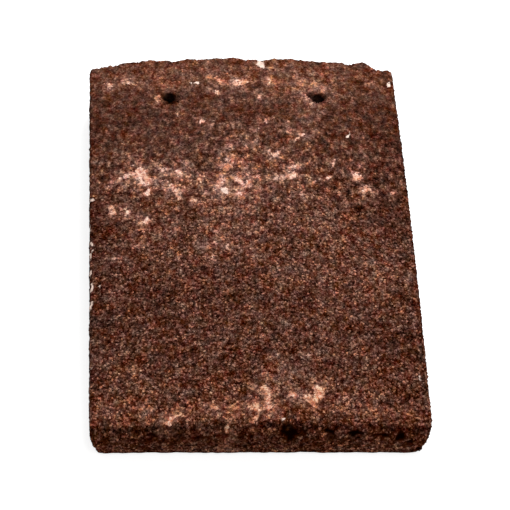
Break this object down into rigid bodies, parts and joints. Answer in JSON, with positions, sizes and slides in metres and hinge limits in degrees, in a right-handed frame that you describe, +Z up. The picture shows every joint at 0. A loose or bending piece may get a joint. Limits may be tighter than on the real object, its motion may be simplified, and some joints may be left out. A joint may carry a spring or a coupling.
{
  "type": "concrete plain tile",
  "caption": "Small flat roof tile of cast concrete with a granular face, gently cambered both ways, with nail holes near its head and nibs beneath that hook over a batten.",
  "frame": {"origin": "middle of the footprint, on the floor that the tile lies on", "axes": "+X across the tile, +Y from its tail to its head, +Z up, with the weathered face on top"},
  "size_m": [0.165, 0.2652, 0.0307],
  "materials": {
    "concrete": "rough, faced with coloured sand granules"
  },
  "bodies": {
    "root": {"plain_tile": "concrete"}
  },
  "joints": []
}
